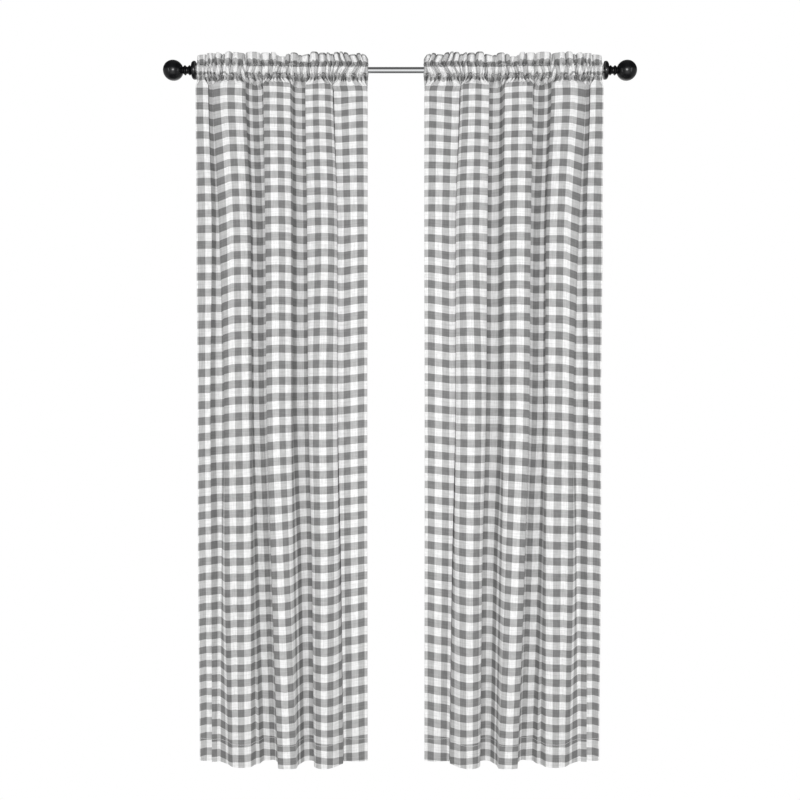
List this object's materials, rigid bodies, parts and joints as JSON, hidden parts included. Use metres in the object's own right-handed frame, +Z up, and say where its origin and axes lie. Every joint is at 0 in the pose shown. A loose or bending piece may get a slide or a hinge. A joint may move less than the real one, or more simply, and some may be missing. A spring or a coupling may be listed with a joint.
{
  "type": "gingham curtain pair on a rod",
  "caption": "Gathered rod-pocket curtain panels in gingham cloth with a ruffled heading, on a round metal rod with ball finials.",
  "frame": {"origin": "on the rod's axis, half-way between the two finials", "axes": "+X along the rod, to the right seen from the room; +Y away from the room, towards the wall; +Z up"},
  "size_m": [1.421, 0.1024, 2.1379],
  "materials": {
    "gingham_cloth": "plain-woven grey and white gingham, matt",
    "rod_metal": "bright plated steel tube",
    "finial_black": "black gloss moulded finial"
  },
  "bodies": {
    "root": {"panel_left": "gingham_cloth", "panel_right": "gingham_cloth", "rod": "rod_metal", "finial_left": "finial_black", "finial_right": "finial_black"}
  },
  "joints": []
}
